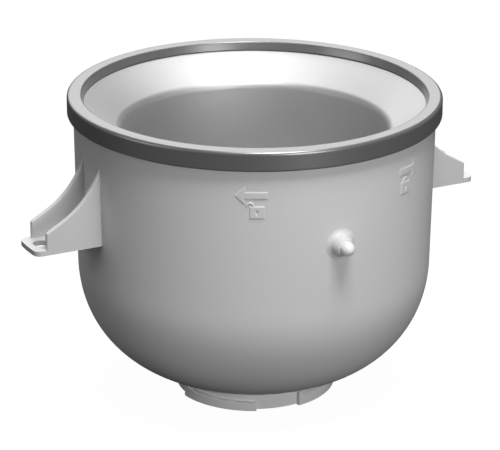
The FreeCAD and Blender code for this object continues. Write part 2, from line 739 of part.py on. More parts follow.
def lug(start_deg):
    """One ramped lug, lofted through upright sections that lie closer together near its stop."""
    root = RING_RADIUS - RING_WALL / 2
    sections = []
    for step in range(LUG_STEPS + 1):
        share = (step / LUG_STEPS) ** 2
        top = ramp_height(share)
        wire = Part.makePolygon([
            section_point(root, 0),
            section_point(LUG_RADIUS - RING_FOOT_ROUND, 0),
            section_point(LUG_RADIUS, RING_FOOT_ROUND),
            section_point(LUG_RADIUS, top - LUG_EDGE_ROUND),
            section_point(LUG_RADIUS - LUG_EDGE_ROUND, top),
            section_point(root, top),
            section_point(root, 0),
        ])
        wire.rotate(ORIGIN, UP, start_deg + share * LUG_ARC_DEG)
        sections.append(wire)
    return Part.makeLoft(sections, True, False)


def adapter_ring():
    """The base ring: a wall with four outer lugs, and an inner lip notched for the bayonet tabs."""
    wall = revolved_path([
        (RING_INNER_RADIUS, RING_TOP / 2, 0),
        (RING_INNER_RADIUS, 0, RING_FOOT_ROUND),
        (RING_RADIUS, 0, RING_FOOT_ROUND),
        (RING_RADIUS, RING_TOP, RING_FOOT_ROUND),
        (RING_INNER_RADIUS, RING_TOP, 0),
    ])
    lip_bottom = TAB_TOP + RING_SEAT_GAP
    lip_radius = NECK_RADIUS + RING_GAP
    buried = RING_RADIUS - RING_WALL / 2
    lip = tube(buried, lip_radius, lip_bottom, lip_bottom + RING_LIP_HEIGHT)
    solid = wall.fuse(lip)
    for index in range(TAB_COUNT):
        tab_centre = FIRST_TAB_DEG + index * 360 / TAB_COUNT
        notch_arc = TAB_ANGLE_DEG + 2 * NOTCH_MARGIN_DEG
        notch_start = tab_centre - UNLOCK_TURN_DEG - notch_arc / 2
        notch = tube_sector(
            RING_INNER_RADIUS,
            lip_radius - RING_GAP / 2,
            lip_bottom,
            lip_bottom + RING_LIP_HEIGHT,
            notch_start,
            notch_arc,
        )
        stop_start = tab_centre + TAB_ANGLE_DEG / 2 + STOP_GAP_DEG
        stop = tube_sector(buried, lip_radius, NECK_BOTTOM_HEIGHT, lip_bottom, stop_start, STOP_ANGLE_DEG)
        solid = solid.cut(notch).fuse(stop)
    for index in range(LUG_COUNT):
        solid = solid.fuse(lug(FIRST_LUG_DEG + index * 360 / LUG_COUNT))
    return solid.removeSplitter()


def main():
    nodes = {
        "outer_shell": outer_shell(),
        "right_bracket": bracket(0),
        "left_bracket": bracket(180),
        "latch_pin": latch_pin(),
        "rim_ring": rim_ring(),
        "ring_seal": ring_seal(),
        "inner_bowl": inner_bowl(),
        "rim_seal": rim_seal(),
        "freezing_gel": freezing_gel(),
        "adapter_ring": adapter_ring(),
        "fill_plug": fill_plug(),
        "fill_plug_seal": fill_plug_seal(),
    }
    os.makedirs("parts", exist_ok=True)
    for name, shape in nodes.items():
        solids = len(shape.Solids)
        print(f"{name}: {solids} solid, valid {shape.isValid()}, {shape.Volume / 1000:.2f} cm3")
        shape.exportStep(f"parts/{name}.step")


main()
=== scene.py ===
import math
import bpy
import bmesh
import numpy as np
from mathutils import Matrix, Vector


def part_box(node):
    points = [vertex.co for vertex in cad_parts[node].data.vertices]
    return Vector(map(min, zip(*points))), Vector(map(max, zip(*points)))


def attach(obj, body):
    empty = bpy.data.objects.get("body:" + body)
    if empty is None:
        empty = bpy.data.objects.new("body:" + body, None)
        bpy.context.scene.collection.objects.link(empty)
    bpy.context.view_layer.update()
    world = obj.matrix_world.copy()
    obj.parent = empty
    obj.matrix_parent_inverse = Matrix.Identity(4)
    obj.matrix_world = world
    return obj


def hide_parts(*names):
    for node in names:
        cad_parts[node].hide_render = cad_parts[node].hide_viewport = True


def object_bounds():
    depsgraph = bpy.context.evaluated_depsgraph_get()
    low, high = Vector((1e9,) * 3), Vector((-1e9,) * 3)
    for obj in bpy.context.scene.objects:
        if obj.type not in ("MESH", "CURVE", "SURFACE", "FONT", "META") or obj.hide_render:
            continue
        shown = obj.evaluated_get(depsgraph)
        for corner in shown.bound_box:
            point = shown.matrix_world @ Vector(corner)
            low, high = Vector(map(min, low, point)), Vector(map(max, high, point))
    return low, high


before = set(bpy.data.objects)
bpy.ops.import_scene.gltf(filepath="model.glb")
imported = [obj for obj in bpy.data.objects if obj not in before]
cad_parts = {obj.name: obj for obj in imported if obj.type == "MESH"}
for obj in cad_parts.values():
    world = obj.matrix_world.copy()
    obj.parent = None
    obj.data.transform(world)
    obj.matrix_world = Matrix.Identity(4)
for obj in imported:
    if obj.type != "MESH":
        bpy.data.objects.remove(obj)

cadLow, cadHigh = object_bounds()
scene = bpy.context.scene
scene.view_settings.view_transform = "Standard"


studio = {
    "cameraPlace": (-0.7022, -1.3541, 0.6822),
    "cameraTurn": -27.33,      # degrees about the upright axis
    "cameraTilt": 20.72,       # degrees below the horizon
    "cameraRoll": 0.374,       # degrees about the line of sight
    "lens": 185.9,
    "sensorWidth": 36,
    "nearest": 0.05,
    "farthest": 50,
    "shiftAcross": -0.001,
    "shiftUp": 0.0,
    "worldStrength": 0.12,
    "worldGlow": 1.0,
    "floorReach": 9.0,
    "floorGap": 0.0002,
    "floorGlow": 0.97,
    "floorShade": 0.05,
}

softboxes = [
    # Metres from the bowl's middle, degrees from -Y towards +X, degrees up, metres across and up, watts.
    {"name": "keyBox", "distance": 1.2, "bearing": -6, "elevation": 66, "size": (0.42, 0.42), "power": 10.5},
    {"name": "fillBox", "distance": 1.4, "bearing": 2, "elevation": 12, "size": (0.5, 0.5), "power": 7.0},
    {"name": "topBox", "distance": 1.5, "bearing": 153, "elevation": 65, "size": (1.2, 0.8), "power": 11},
    {"name": "backBox", "distance": 1.9, "bearing": 165, "elevation": 30, "size": (1.8, 1.1), "power": 11},
    {"name": "leftBox", "distance": 1.6, "bearing": -95, "elevation": 15, "size": (0.8, 0.8), "power": 2.4},
]


def makeCamera():
    data = bpy.data.cameras.new("viewCamera")
    data.lens = studio["lens"]
    data.sensor_width = studio["sensorWidth"]
    data.clip_start = studio["nearest"]
    data.clip_end = studio["farthest"]
    data.shift_x = studio["shiftAcross"]
    data.shift_y = studio["shiftUp"]
    camera = bpy.data.objects.new("viewCamera", data)
    turn = Matrix.Rotation(math.radians(studio["cameraTurn"]), 4, "Z")
    tilt = Matrix.Rotation(math.radians(90 - studio["cameraTilt"]), 4, "X")
    roll = Matrix.Rotation(math.radians(studio["cameraRoll"]), 4, "Z")
    camera.matrix_world = Matrix.Translation(studio["cameraPlace"]) @ turn @ tilt @ roll
    scene.collection.objects.link(camera)
    scene.camera = camera


def makeSoftboxes():
    middle = (cadLow + cadHigh) / 2
    for box in softboxes:
        data = bpy.data.lights.new(box["name"], "AREA")
        data.shape = "RECTANGLE"
        data.size, data.size_y = box["size"]
        data.energy = box["power"]
        light = bpy.data.objects.new(box["name"], data)
        bearing = math.radians(box["bearing"])
        elevation = math.radians(box["elevation"])
        away = Vector((
            math.sin(bearing) * math.cos(elevation),
            -math.cos(bearing) * math.cos(elevation),
            math.sin(elevation),
        ))
        light.location = middle + away * box["distance"]
        light.rotation_mode = "QUATERNION"
        light.rotation_quaternion = (-away).to_track_quat("-Z", "Y")
        scene.collection.objects.link(light)


def makeWorld():
    # The room looks as pale as the floor, but lights the object only a little.
    world = bpy.data.worlds.new("softRoom")
    world.use_nodes = True
    nodes, links = world.node_tree.nodes, world.node_tree.links
    background = nodes["Background"]
    background.inputs["Color"].default_value = (1, 1, 1, 1)
    seen = nodes.new("ShaderNodeLightPath")
    strength = nodes.new("ShaderNodeMapRange")
    strength.inputs["To Min"].default_value = studio["worldStrength"]
    strength.inputs["To Max"].default_value = studio["worldGlow"]
    links.new(seen.outputs["Is Camera Ray"], strength.inputs["Value"])
    links.new(strength.outputs["Result"], background.inputs["Strength"])
    scene.world = world


def makeFloor():
    # The floor glows only for the camera, so it looks pale without lighting the bowl from below.
    reach, height = studio["floorReach"], cadLow.z - studio["floorGap"]
    mesh = bpy.data.meshes.new("floor")
    corners = [(-reach, -reach), (reach, -reach), (reach, reach), (-reach, reach)]
    mesh.from_pydata([(x, y, height) for x, y in corners], [], [(0, 1, 2, 3)])
    floor = bpy.data.objects.new("floor", mesh)
    scene.collection.objects.link(floor)
    material = bpy.data.materials.new("paleFloor")
    material.use_nodes = True
    nodes, links = material.node_tree.nodes, material.node_tree.links
    nodes.clear()
    output = nodes.new("ShaderNodeOutputMaterial")
    matte = nodes.new("ShaderNodeBsdfDiffuse")
    matte.inputs["Color"].default_value = (studio["floorShade"],) * 3 + (1,)
    glow = nodes.new("ShaderNodeEmission")
    glow.inputs["Color"].default_value = (1, 1, 1, 1)
    glow.inputs["Strength"].default_value = studio["floorGlow"]
    seen = nodes.new("ShaderNodeLightPath")
    mixed = nodes.new("ShaderNodeMixShader")
    both = nodes.new("ShaderNodeAddShader")
    links.new(matte.outputs[0], both.inputs[0])
    links.new(glow.outputs[0], both.inputs[1])
    links.new(seen.outputs["Is Camera Ray"], mixed.inputs[0])
    links.new(matte.outputs[0], mixed.inputs[1])
    links.new(both.outputs[0], mixed.inputs[2])
    links.new(mixed.outputs[0], output.inputs[0])
    mesh.materials.append(material)


makeCamera()
makeSoftboxes()
makeWorld()
makeFloor()
print("studio ready")


meshing = {
    "mergeReach": 1e-6,
    "guardShare": 0.35,         # of the rounding, how far beyond an arc its guard point stands
    "guardMost": 0.0006,
}


def roundedPath(corners, arcSteps):
    # A path through (radius, height, rounding) corners. Each rounded corner becomes an arc that is
    # tangent to both runs, and a guard point beyond each arc end keeps the straight run flat.
    points = []
    count = len(corners)
    for index, (x, y, rounding) in enumerate(corners):
        corner = np.array([x, y])
        if rounding <= 0 or index in (0, count - 1):
            points.append(corner)
            continue
        before = np.array(corners[index - 1][:2]) - corner
        after = np.array(corners[index + 1][:2]) - corner
        before, after = before / np.linalg.norm(before), after / np.linalg.norm(after)
        half = math.acos(np.clip(before @ after, -1, 1)) / 2
        setback = rounding / math.tan(half)
        middle = (before + after) / np.linalg.norm(before + after)
        centre = corner + middle * rounding / math.sin(half)
        first = corner + before * setback - centre
        last = corner + after * setback - centre
        sweep = math.atan2(first[0] * last[1] - first[1] * last[0], first @ last)
        turns = np.linspace(0, sweep, arcSteps + 1)[:, None]
        side = np.array([-first[1], first[0]])
        arc = centre + first * np.cos(turns) + side * np.sin(turns)
        guard = min(meshing["guardShare"] * rounding, meshing["guardMost"])
        points.append(corner + before * (setback + guard))
        points.extend(arc)
        points.append(corner + after * (setback + guard))
    return np.array(points)


def gridFaces(rows, columns, wrapRows, wrapColumns):
    # Quads between neighbouring points of a grid whose points are numbered row by row.
    numbers = np.arange(rows * columns).reshape(rows, columns)
    if wrapRows:
        numbers = np.vstack([numbers, numbers[:1]])
    if wrapColumns:
        numbers = np.hstack([numbers, numbers[:, :1]])
    quads = np.stack([numbers[:-1, :-1], numbers[:-1, 1:], numbers[1:, 1:], numbers[1:, :-1]], axis=-1)
    return quads.reshape(-1, 4).tolist()


def addPiece(name, points, faces, material, body, replaced):
    # A closed, outward-facing, smooth piece that stands for the CAD nodes in replaced.
    mesh = bpy.data.meshes.new(name)
    mesh.from_pydata(points.reshape(-1, 3).tolist(), [], faces)
    work = bmesh.new()
    work.from_mesh(mesh)
    bmesh.ops.remove_doubles(work, verts=work.verts, dist=meshing["mergeReach"])
    bmesh.ops.recalc_face_normals(work, faces=work.faces)
    work.to_mesh(mesh)
    work.free()
    mesh.polygons.foreach_set("use_smooth", np.ones(len(mesh.polygons), bool))
    mesh.materials.append(material)
    piece = bpy.data.objects.new(name, mesh)
    scene.collection.objects.link(piece)
    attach(piece, body)
    if replaced:
        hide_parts(*replaced)


def latheGrid(profile, angles):
    # Every profile point (radius, height) at every angle: x = r cos a, y = r sin a, z = height.
    radius, height = profile[:, 0][:, None], profile[:, 1][:, None]
    x = radius * np.cos(angles)[None, :]
    y = radius * np.sin(angles)[None, :]
    return np.stack([x, y, np.broadcast_to(height, x.shape)], axis=-1)


def lathePiece(name, profile, columns, material, body, replaced, closed):
    # A lathe surface. A closed profile is a loop clear of the axis; an open one starts and ends on it,
    # and its end rows shrink to a point there, which the merge in addPiece turns into one vertex.
    angles = np.arange(columns) * 2 * math.pi / columns
    points = latheGrid(profile, angles)
    faces = gridFaces(len(profile), columns, closed, True)
    addPiece(name, points, faces, material, body, replaced)


def smoothStep(value):
    # Rises gently from 0 to 1: three times the square less twice the cube.
    clipped = np.clip(value, 0, 1)
    return clipped * clipped * (3 - 2 * clipped)


mould = {
    "grainDetail": 3,
    "grainHeight": 0.0001,
    "patchScale": 22,
    "patchDetail": 4,
    "patchLow": 0.3,
    "patchHigh": 0.7,
    "cloudScale": 14,
    "cloudDetail": 5,
}


def makeGrainGroup():
    # Fine moulded grain: small noise gives a bump normal and a roughness that wanders between two values.
    group = bpy.data.node_groups.new("mouldGrain", "ShaderNodeTree")
    face = group.interface
    for label, value in (("Scale", 900.0), ("Depth", 0.1), ("Smoothest", 0.35), ("Roughest", 0.5)):
        socket = face.new_socket(name=label, in_out="INPUT", socket_type="NodeSocketFloat")
        socket.default_value = value
    face.new_socket(name="Roughness", in_out="OUTPUT", socket_type="NodeSocketFloat")
    face.new_socket(name="Normal", in_out="OUTPUT", socket_type="NodeSocketVector")
    nodes, links = group.nodes, group.links
    given = nodes.new("NodeGroupInput")
    result = nodes.new("NodeGroupOutput")
    place = nodes.new("ShaderNodeTexCoord")
    grain = nodes.new("ShaderNodeTexNoise")
    grain.inputs["Detail"].default_value = mould["grainDetail"]
    patches = nodes.new("ShaderNodeTexNoise")
    patches.inputs["Scale"].default_value = mould["patchScale"]
    patches.inputs["Detail"].default_value = mould["patchDetail"]
    bump = nodes.new("ShaderNodeBump")
    bump.inputs["Distance"].default_value = mould["grainHeight"]
    blend = nodes.new("ShaderNodeMapRange")
    links.new(place.outputs["Object"], grain.inputs["Vector"])
    links.new(place.outputs["Object"], patches.inputs["Vector"])
    links.new(given.outputs["Scale"], grain.inputs["Scale"])
    links.new(grain.outputs["Fac"], bump.inputs["Height"])
    links.new(given.outputs["Depth"], bump.inputs["Strength"])
    links.new(patches.outputs["Fac"], blend.inputs["Value"])
    blend.inputs["From Min"].default_value = mould["patchLow"]
    blend.inputs["From Max"].default_value = mould["patchHigh"]
    links.new(given.outputs["Smoothest"], blend.inputs["To Min"])
    links.new(given.outputs["Roughest"], blend.inputs["To Max"])
    links.new(blend.outputs["Result"], result.inputs["Roughness"])
    links.new(bump.outputs["Normal"], result.inputs["Normal"])
    return group


grainGroup = makeGrainGroup()


finishes = {
    # Colour, the share of it that the darker clouds keep, grain scale and depth, roughness from and to.
    "whitePlastic": {"colour": (0.70, 0.70, 0.70), "shade": 0.97,
                     "grain": (900, 0.04), "rough": (0.40, 0.48)},
    "greyPlastic": {"colour": (0.25, 0.25, 0.255), "shade": 0.97,
                    "grain": (700, 0.02), "rough": (0.30, 0.33)},
    # The pin's own white plastic, brightened above the shell's white as a painted highlight from the lamp
    # overhead.
    "pinPlasticAndHighlight": {"colour": (0.86, 0.86, 0.86), "shade": 0.98,
                   "grain": (900, 0.04), "rough": (0.28, 0.34)},
    # The brackets take a darker copy of the shell's white plastic: painted shade for their dimly lit sides.
    "shadedFramePlastic": {"colour": (0.63, 0.63, 0.63), "shade": 0.97,
                     "grain": (900, 0.04), "rough": (0.40, 0.48)},
    "footPlastic": {"colour": (0.88, 0.88, 0.875), "shade": 0.98,
                    "grain": (900, 0.04), "rough": (0.36, 0.44)},
    "darkRubber": {"colour": (0.035, 0.035, 0.035), "shade": 0.8,
                   "grain": (1200, 0.10), "rough": (0.60, 0.75)},
    "gelFill": {"colour": (0.45, 0.62, 0.74), "shade": 0.85,
                "grain": (400, 0.05), "rough": (0.15, 0.25)},
}

rimGloss = {
    "metallic": 0.6,
    "coatWeight": 0.3,
    "coatRoughness": 0.14,
}


def plasticMaterial(name):
    # Moulded plastic: two close tones in soft clouds, and the shared fine grain.
    finish = finishes[name]
    material = bpy.data.materials.new(name)
    material.use_nodes = True
    nodes, links = material.node_tree.nodes, material.node_tree.links
    shader = nodes["Principled BSDF"]
    place = nodes.new("ShaderNodeTexCoord")
    clouds = nodes.new("ShaderNodeTexNoise")
    clouds.inputs["Scale"].default_value = mould["cloudScale"]
    clouds.inputs["Detail"].default_value = mould["cloudDetail"]
    tones = nodes.new("ShaderNodeMix")
    tones.data_type = "RGBA"
    tones.inputs["A"].default_value = (*finish["colour"], 1)
    tones.inputs["B"].default_value = (*[part * finish["shade"] for part in finish["colour"]], 1)
    grain = nodes.new("ShaderNodeGroup")
    grain.node_tree = grainGroup
    grain.inputs["Scale"].default_value, grain.inputs["Depth"].default_value = finish["grain"]
    grain.inputs["Smoothest"].default_value, grain.inputs["Roughest"].default_value = finish["rough"]
    links.new(place.outputs["Object"], clouds.inputs["Vector"])
    links.new(clouds.outputs["Fac"], tones.inputs["Factor"])
    links.new(tones.outputs["Result"], shader.inputs["Base Color"])
    links.new(grain.outputs["Roughness"], shader.inputs["Roughness"])
    links.new(grain.outputs["Normal"], shader.inputs["Normal"])
    return material


def addGloss(material):
    # A metallic tint under a thin clear layer, which gives the rim its crisp edge highlights.
    shader = material.node_tree.nodes["Principled BSDF"]
    shader.inputs["Metallic"].default_value = rimGloss["metallic"]
    shader.inputs["Coat Weight"].default_value = rimGloss["coatWeight"]
    shader.inputs["Coat Roughness"].default_value = rimGloss["coatRoughness"]


metal = {
    "lighter": (0.63, 0.63, 0.635),
    "darker": (0.60, 0.60, 0.605),
    "ringScale": 1400,
    "ringDetail": 2,
    "ringStrength": 0.05,
    "ringHeight": 0.0001,
    "cloudScale": 30,
    "rough": (0.52, 0.58),
}


def linerMetal():
    # Satin aluminium with fine turning marks: noise squeezed along the axis and across the radius, so it
    # runs in rings round the bowl.
    material = bpy.data.materials.new("linerMetal")
    material.use_nodes = True
    nodes, links = material.node_tree.nodes, material.node_tree.links
    shader = nodes["Principled BSDF"]
    shader.inputs["Metallic"].default_value = 1
    place = nodes.new("ShaderNodeTexCoord")
    parts = nodes.new("ShaderNodeSeparateXYZ")
    flat = nodes.new("ShaderNodeCombineXYZ")
    radius = nodes.new("ShaderNodeVectorMath")
    radius.operation = "LENGTH"
    rings = nodes.new("ShaderNodeCombineXYZ")
    turned = nodes.new("ShaderNodeTexNoise")
    turned.inputs["Scale"].default_value = metal["ringScale"]
    turned.inputs["Detail"].default_value = metal["ringDetail"]
    soft = nodes.new("ShaderNodeTexNoise")
    soft.inputs["Scale"].default_value = metal["cloudScale"]
    bump = nodes.new("ShaderNodeBump")
    bump.inputs["Strength"].default_value = metal["ringStrength"]
    bump.inputs["Distance"].default_value = metal["ringHeight"]
    rough = nodes.new("ShaderNodeMapRange")
    rough.inputs["To Min"].default_value, rough.inputs["To Max"].default_value = metal["rough"]
    tones = nodes.new("ShaderNodeMix")
    tones.data_type = "RGBA"
    tones.inputs["A"].default_value = (*metal["lighter"], 1)
    tones.inputs["B"].default_value = (*metal["darker"], 1)
    links.new(place.outputs["Object"], parts.inputs["Vector"])
    links.new(parts.outputs["X"], flat.inputs["X"])
    links.new(parts.outputs["Y"], flat.inputs["Y"])
    links.new(flat.outputs["Vector"], radius.inputs[0])
    links.new(radius.outputs["Value"], rings.inputs["X"])
    links.new(parts.outputs["Z"], rings.inputs["Y"])
    links.new(rings.outputs["Vector"], turned.inputs["Vector"])
    links.new(place.outputs["Object"], soft.inputs["Vector"])
    links.new(turned.outputs["Fac"], bump.inputs["Height"])
    links.new(soft.outputs["Fac"], rough.inputs["Value"])
    links.new(soft.outputs["Fac"], tones.inputs["Factor"])
    links.new(tones.outputs["Result"], shader.inputs["Base Color"])
    links.new(rough.outputs["Result"], shader.inputs["Roughness"])
    links.new(bump.outputs["Normal"], shader.inputs["Normal"])
    return material


whitePlastic = plasticMaterial("whitePlastic")
greyPlastic = plasticMaterial("greyPlastic")
pinPlasticAndHighlight = plasticMaterial("pinPlasticAndHighlight")
shadedFramePlastic = plasticMaterial("shadedFramePlastic")
footPlastic = plasticMaterial("footPlastic")
darkRubber = plasticMaterial("darkRubber")
gelFill = plasticMaterial("gelFill")
addGloss(greyPlastic)
satinMetal = linerMetal()
print("materials ready")


shell = {
    "topRadius": 0.1126,
    "topHeight": 0.1847,
    "draft": 0.84,              # degrees
    "bellyHeight": 0.0892,
    "bottomHeight": 0.0106,
    "flatRadius": 0.0263,
    "exponent": 2.2,
    "wall": 0.003,
    "seatRadius": 0.0493,
    "seatHeight": 0.0114,
    "neckRadius": 0.0430,
    "neckWall": 0.0034,
    "neckBottom": 0.0040,
    "tabCount": 4,
    "firstTab": 45,             # degrees from the pin
    "tabReach": 0.0022,
    "tabHeight": 0.0022,
    "tabArc": 24.0,
    "portRadius": 0.0060,
    "edgeRound": 0.0004,
    "seatRound": 0.0002,
    "neckRootRound": 0.0008,
    "bellySteps": 30,
    "insideSkip": 3,            # the inside takes every third point of the belly
    "rowsAboveMarks": 6,
    "rowsBelowMarks": 22,
    "columnStep": 3.0,
    "tabColumns": (-0.3, 0.0, 0.1),     # degrees beyond each tab end
    "arcSteps": 3,
    "hairline": 0.0001,         # the least gap between neighbouring rows
}

marks = {
    "relief": 0.0005,
    "softEdge": 0.00022,
    "grid": 0.0002,
    "arrowAngle": 28.3,
    "arrowHeight": 0.1659,
    "arrowLength": 0.0194,
    "arrowHeadLength": 0.0059,
    "arrowHeadWidth": 0.0108,
    "arrowShaftWidth": 0.0040,
    "lockAngle": 26.5,
    "lockHeight": 0.1553,
    "lockWidth": 0.0086,
    "lockBody": 0.0074,
    "shackleRadius": 0.0024,
    "shackleThickness": 0.0011,
    "shackleLift": 0.0004,
    "shackleSwing": 0.0043,
    "keyholeRadius": 0.0009,
    "legOverlap": 0.0002,
    "lowest": 0.1505,
    "highest": 0.1725,
    "rowGap": 0.001,
    "window": (21.5, 34.5),     # degrees either side of the pin
    "windowGap": 0.5,           # degrees kept free of even columns beside a window
}


def wallRadius(height):
    # The straight wall narrows downwards: top radius less the drop times the tangent of the draft.
    return shell["topRadius"] - (shell["topHeight"] - height) * math.tan(math.radians(shell["draft"]))


def bellyCurve(inset):
    # A quarter of a superellipse: radius is flat radius plus half width times cos(t) to the power 2/exponent,
    # height is belly height less depth times sin(t) to the same power.
    turn = np.linspace(0, math.pi / 2, shell["bellySteps"] + 1)
    power = 2 / shell["exponent"]
    across = (wallRadius(shell["bellyHeight"]) - shell["flatRadius"] - inset) * np.cos(turn).clip(0) ** power
    down = (shell["bellyHeight"] - shell["bottomHeight"] - inset) * np.sin(turn) ** power
    return np.stack([shell["flatRadius"] + across, shell["bellyHeight"] - down], axis=1)


def shellProfile():
    # From the top edge down the outside, along the bottom, round the neck, through the port and up inside.
    top, wall, edge = shell["topHeight"], shell["wall"], shell["edgeRound"]
    hair, rowGap = shell["hairline"], marks["rowGap"]
    wallRows = np.concatenate([
        np.linspace(top - 1.5 * edge, marks["highest"] + rowGap, shell["rowsAboveMarks"]),
        np.arange(marks["highest"], marks["lowest"], -marks["grid"]),
        np.linspace(marks["lowest"] - rowGap, shell["bellyHeight"] + 2 * rowGap, shell["rowsBelowMarks"]),
    ])
    outside = np.stack([wallRadius(wallRows), wallRows], axis=1)
    belly = bellyCurve(0)
    belly = belly[belly[:, 0] > shell["seatRadius"] + 8 * hair]
    bellyRadius, bellyEnd = belly[-1]
    neckInner = shell["neckRadius"] - shell["neckWall"]
    tabTop = shell["neckBottom"] + shell["tabHeight"]
    under = roundedPath([
        (bellyRadius - 3 * hair, bellyEnd - hair, 0),
        (shell["seatRadius"], bellyEnd - 2 * hair, shell["seatRound"]),
        (shell["seatRadius"], shell["seatHeight"], edge),
        (shell["neckRadius"], shell["seatHeight"], edge),
        (shell["neckRadius"], tabTop + hair, 0),
        (shell["neckRadius"], tabTop, 0),
        (shell["neckRadius"], shell["neckBottom"], edge),
        (neckInner, shell["neckBottom"], edge),
        (neckInner, shell["bottomHeight"] + 2 * hair, shell["neckRootRound"]),
        (shell["portRadius"], shell["bottomHeight"], edge),
        (shell["portRadius"], shell["bottomHeight"] + wall, 0),
        (shell["flatRadius"], shell["bottomHeight"] + wall, 0),
    ], shell["arcSteps"])
    insideBelly = bellyCurve(wall)[::-shell["insideSkip"]]
    insideTop = np.array([
        (shell["topRadius"] - wall, top - edge),
        (shell["topRadius"] - wall + edge, top),
        (shell["topRadius"] - edge, top),
    ])
    return np.vstack([outside, belly, under, insideBelly, insideTop])


def shellAngles():
    # Even angles all round, with close ones over the marks and beside the tab ends. Angles start at the pin.
    even = np.arange(0, 360, shell["columnStep"])
    low, high = marks["window"]
    gap = marks["windowGap"]
    fine = np.arange(low, high, math.degrees(marks["grid"] / shell["topRadius"]))
    between = 360 / shell["tabCount"]
    halfArc = shell["tabArc"] / 2
    middles = [shell["firstTab"] + between * turn for turn in range(shell["tabCount"])]
    tabs = np.array([middle + side * (halfArc + shift)
                     for middle in middles for side in (-1, 1) for shift in shell["tabColumns"]])
    fromPin = np.minimum(even, 360 - even)
    outsideWindows = (fromPin < low - gap) | (fromPin > high + gap)
    angles = np.concatenate([even[outsideWindows], fine, 360 - fine, tabs % 360])
    return np.unique(np.round(angles, 5))


def boxDistance(across, up, halfAcross, halfUp):
    # Signed distance to a rectangle centred on zero; negative inside.
    dx, dy = np.abs(across) - halfAcross, np.abs(up) - halfUp
    outside = np.hypot(np.maximum(dx, 0), np.maximum(dy, 0))
    return outside + np.minimum(np.maximum(dx, dy), 0)


def arrowDistance(across, up):
    # A shaft joined to a triangular head that points to positive across.
    half = marks["arrowLength"] / 2
    neck = half - marks["arrowHeadLength"]
    shaftMiddle = (neck - half) / 2
    shaft = boxDistance(across - shaftMiddle, up, (neck + half) / 2, marks["arrowShaftWidth"] / 2)
    slope = math.atan2(marks["arrowHeadWidth"] / 2, marks["arrowHeadLength"])
    side = (across - half) * math.sin(slope) + np.abs(up) * math.cos(slope)
    head = np.maximum(side, neck - across)
    return np.minimum(shaft, head)


def padlockDistance(across, up, swing):
    # A body less its keyhole, joined to a half-ring shackle on two short legs.
    body = boxDistance(across, up, marks["lockWidth"] / 2, marks["lockBody"] / 2)
    hole = marks["keyholeRadius"]
    keyRound = np.hypot(across, up - hole / 2) - hole
    keySlot = boxDistance(across, up + hole, hole / 2, hole)
    body = np.maximum(body, -np.minimum(keyRound, keySlot))
    spring = marks["lockBody"] / 2 + marks["shackleLift"]
    thick, halfLift = marks["shackleThickness"] / 2, marks["shackleLift"] / 2
    middleRadius = marks["shackleRadius"] - thick
    arch = np.abs(np.hypot(across - swing, up - spring) - middleRadius) - thick
    arch = np.maximum(arch, spring - up)
    fromLeg = np.abs(across - swing) - middleRadius
    legs = boxDistance(fromLeg, up - spring + halfLift, thick, halfLift + marks["legOverlap"])
    return np.minimum(body, np.minimum(arch, legs))


def markRelief(angle, height):
    # How far the wall is raised at an angle from the pin (degrees, positive to the right) and a height.
    relief = np.zeros_like(angle)
    for direction in (-1, 1):
        across = direction * (angle - direction * marks["arrowAngle"])
        across = np.radians(across) * wallRadius(marks["arrowHeight"])
        arrow = arrowDistance(across, height - marks["arrowHeight"])
        lockAcross = np.radians(angle - direction * marks["lockAngle"]) * wallRadius(marks["lockHeight"])
        swing = -marks["shackleSwing"] if direction < 0 else 0.0
        lock = padlockDistance(lockAcross, height - marks["lockHeight"], swing)
        distance = np.minimum(arrow, lock)
        relief = np.maximum(relief, smoothStep(0.5 - distance / (2 * marks["softEdge"])))
    return relief * marks["relief"]


def makeShell():
    # A lathe surface whose radius also gains the marks' relief on the wall and the tabs' reach on the neck:
    # x = r cos a, y = r sin a, with r a function of height and of the angle from the pin.
    profile = shellProfile()
    fromPin = shellAngles()
    signed = (fromPin + 180) % 360 - 180
    angle, height = np.meshgrid(signed, profile[:, 1])
    radius = np.repeat(profile[:, 0][:, None], len(fromPin), axis=1)
    onWall = profile[:, 0][:, None] > wallRadius(marks["lowest"]) - marks["rowGap"]
    radius = radius + np.where(onWall, markRelief(angle, height), 0)
    hair, between = shell["hairline"], 360 / shell["tabCount"]
    fromTab = np.abs((fromPin - shell["firstTab"] + between / 2) % between - between / 2)
    byTab = fromTab <= shell["tabArc"] / 2 + meshing["mergeReach"]
    onNeck = np.abs(profile[:, 0] - shell["neckRadius"]) < 5 * hair
    underTop = profile[:, 1] <= shell["neckBottom"] + shell["tabHeight"] + meshing["mergeReach"]
    radius = radius + np.where((onNeck & underTop)[:, None] & byTab[None, :], shell["tabReach"], 0)
    turned = np.radians(signed - 90)[None, :]
    points = np.stack([radius * np.cos(turned), radius * np.sin(turned), height], axis=-1)
    faces = gridFaces(len(profile), len(fromPin), True, True)
    addPiece("outerShell", points, faces, whitePlastic, "bowl", ["outer_shell"])


makeShell()
print("shell ready")


pin = {
    "radius": 0.0042,
    "rootDepth": 0.001,         # how far the pin's root lies inside its boss
    "rootEdge": 0.0003,
    "domeSteps": 14,
    "columns": 96,
}

boss = {
    "tipRadius": 0.0052,
    "rootRadius": 0.0066,
    "reach": 0.1184,
    "fillet": 0.0032,
    "sunk": 0.0012,
    "tipEdge": 0.0004,
    "tipSoftness": 0.00012,
    "dish": 0.0002,
    "filletSteps": 12,
    "taperSteps": 6,
    "wallGap": 0.00002,
    "blendPower": 0.5,
}


def aroundPin(radii, columns, height):
    # Every radius at every angle about the pin's own axis, which runs out of the wall towards -Y:
    # x = r cos a, z = height + r sin a.
    angles = np.arange(columns) * 2 * math.pi / columns
    return radii[:, None] * np.cos(angles), height + radii[:, None] * np.sin(angles)


